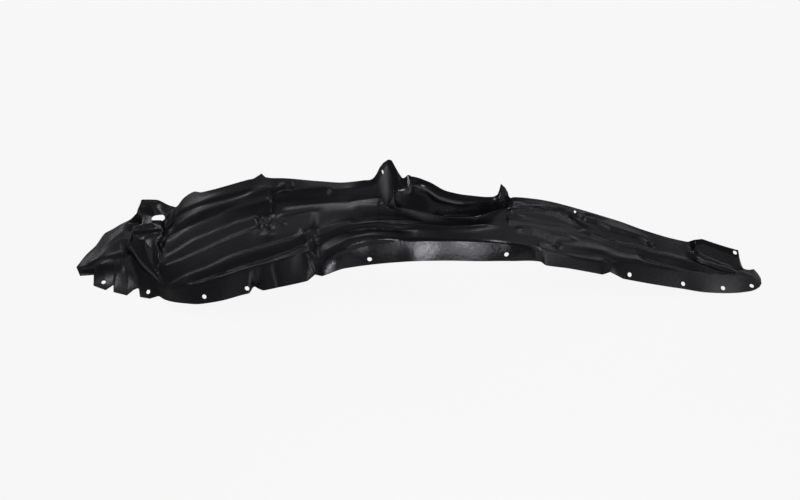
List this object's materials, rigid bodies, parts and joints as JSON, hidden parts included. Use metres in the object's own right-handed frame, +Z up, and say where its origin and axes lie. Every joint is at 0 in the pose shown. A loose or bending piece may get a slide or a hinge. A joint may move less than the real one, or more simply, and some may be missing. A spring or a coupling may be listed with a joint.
{
  "type": "wheel arch liner",
  "caption": "Formed black plastic wheel arch liner with ribbed tread, wing flange, strut recess with tall ear, front panel with drain slot and rear tongue.",
  "frame": {"origin": "middle of the bounding box, at the floor the part lies on", "axes": "+X along the part from the front tip to the rear tongue, +Y from the wing flange to the inner edge, +Z up"},
  "size_m": [1.194, 0.2092, 0.2287],
  "materials": {
    "liner": "satin, glossy in places"
  },
  "bodies": {
    "root": {"liner_shell": "liner"}
  },
  "joints": []
}
